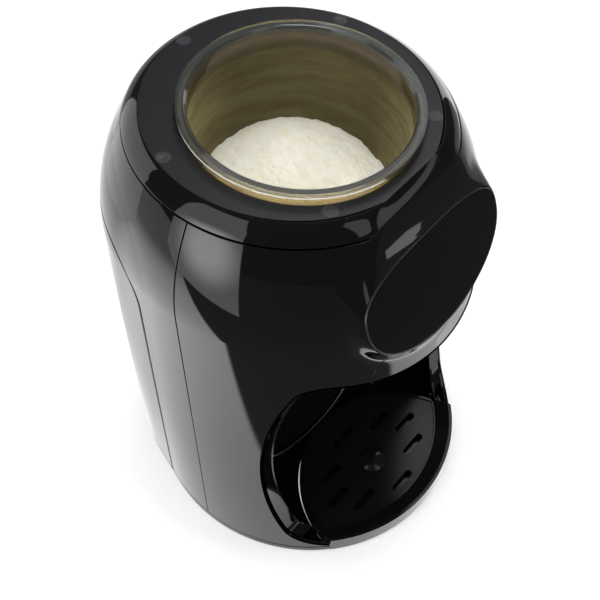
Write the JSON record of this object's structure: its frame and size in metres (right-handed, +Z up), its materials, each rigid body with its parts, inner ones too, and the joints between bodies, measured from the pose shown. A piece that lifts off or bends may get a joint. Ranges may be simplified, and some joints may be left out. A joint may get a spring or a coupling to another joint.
{
  "type": "baby formula maker",
  "caption": "Gloss black baby formula maker with an open powder hopper on top, a tilted touch display, a bottle bay with drip tray, and a water tank behind.",
  "frame": {"origin": "on the table under the centre of the base's front circle", "axes": "+X to the machine's left-hand side as it faces the user, -Y towards the front, +Z up"},
  "size_m": [0.2274, 0.2539, 0.3085],
  "materials": {
    "shell_gloss": "gloss black moulded shell",
    "bay_gloss": "gloss black moulded liner",
    "base_black": "gloss black moulded base",
    "plate_satin": "satin dark blue-grey",
    "plug_satin": "satin dark blue-grey plug",
    "display_glass": "polished black touch panel",
    "display_edge": "polished light edge",
    "circuit_board": "solder mask green",
    "inner_black": "matt black moulded",
    "steel": "plain steel",
    "motor_metal": "cast housing",
    "bearing_bronze": "sintered bronze",
    "gear_white": "white acetal",
    "pump_grey": "moulded pump body",
    "hose_clear": "silicone hose",
    "spout_grey": "moulded spout",
    "hopper_smoke": "smoky see-through plastic",
    "powder_ivory": "loose milk powder",
    "dose_grey": "moulded dosing parts",
    "drawer_gloss": "gloss black moulded cover",
    "funnel_smoke": "see-through moulded funnel",
    "tray_satin": "semi-gloss black tray",
    "grille_satin": "semi-gloss black grille",
    "tank_smoke": "dark smoky tank",
    "lid_grey": "satin lid",
    "rubber_black": "black rubber",
    "inlet_black": "matt black inlet"
  },
  "bodies": {
    "housing": {"base_plate": "base_black", "feet": "rubber_black", "base_screws": "steel", "front_shell": "shell_gloss", "rear_shell": "shell_gloss", "top_cap": "shell_gloss", "top_plate": "plate_satin", "plate_plugs": "plug_satin", "plate_screws": "steel", "display_panel": "display_glass", "display_bezel": "display_edge", "control_board": "circuit_board", "board_posts": "inner_black", "bay_liner": "bay_gloss", "bay_ceiling": "inner_black", "drawer_rails": "inner_black", "machine_frame": "inner_black", "hopper_deck": "inner_black", "hopper_well": "inner_black", "motor_bracket": "steel", "gear_motor": "motor_metal", "shaft_bushes": "bearing_bronze", "main_board": "circuit_board", "water_pump": "pump_grey", "water_heater": "steel", "heater_bracket": "steel", "suction_hose": "hose_clear", "pump_hose": "hose_clear", "spout_hose": "hose_clear", "water_spout": "spout_grey", "tank_dock": "inner_black", "power_inlet": "inlet_black", "inlet_pins": "steel"},
    "hopper": {"hopper": "hopper_smoke", "formula_powder": "powder_ivory", "dose_shield": "dose_grey"},
    "doser": {"dosing_wheel": "dose_grey", "agitator": "dose_grey"},
    "drive": {"drive_shaft": "steel", "drive_gear": "gear_white"},
    "pinion": {"motor_pinion": "gear_white"},
    "funnel": {"funnel_drawer": "drawer_gloss", "mixing_funnel": "funnel_smoke"},
    "tray": {"drip_tray": "tray_satin"},
    "grille": {"drip_grille": "grille_satin"},
    "tank": {"water_tank": "tank_smoke", "tank_lid": "lid_grey", "tank_outlet": "inner_black", "outlet_seal": "rubber_black"}
  },
  "joints": [
    {"name": "hopper_lift", "type": "slide", "parent": "housing", "child": "hopper", "axis": [0, 0, 1], "range_m": [0, 0.12]},
    {"name": "wheel_spin", "type": "hinge", "parent": "hopper", "child": "doser", "pos_m": [0, 0.0259, 0.208], "axis": [0, 0, 1], "continuous": true},
    {"name": "drive_spin", "type": "hinge", "parent": "housing", "child": "drive", "pos_m": [0, 0.0259, 0.193], "axis": [0, 0, 1], "continuous": true},
    {"name": "pinion_spin", "type": "hinge", "parent": "housing", "child": "pinion", "pos_m": [-0.02415, 0.0259, 0.193], "axis": [0, 0, 1], "continuous": true},
    {"name": "funnel_slide", "type": "slide", "parent": "housing", "child": "funnel", "axis": [0, -1, 0], "range_m": [0, 0.07]},
    {"name": "tray_slide", "type": "slide", "parent": "housing", "child": "tray", "axis": [0, -1, 0], "range_m": [0, 0.11]},
    {"name": "grille_lift", "type": "slide", "parent": "tray", "child": "grille", "axis": [0, 0, 1], "range_m": [0, 0.03]},
    {"name": "tank_slide", "type": "slide", "parent": "housing", "child": "tank", "axis": [0, 1, 0], "range_m": [0, 0.16]}
  ],
  "couplings": [
    {"joint": "drive_spin", "follows": "wheel_spin", "ratio": 1},
    {"joint": "pinion_spin", "follows": "wheel_spin", "ratio": -2.4286}
  ]
}
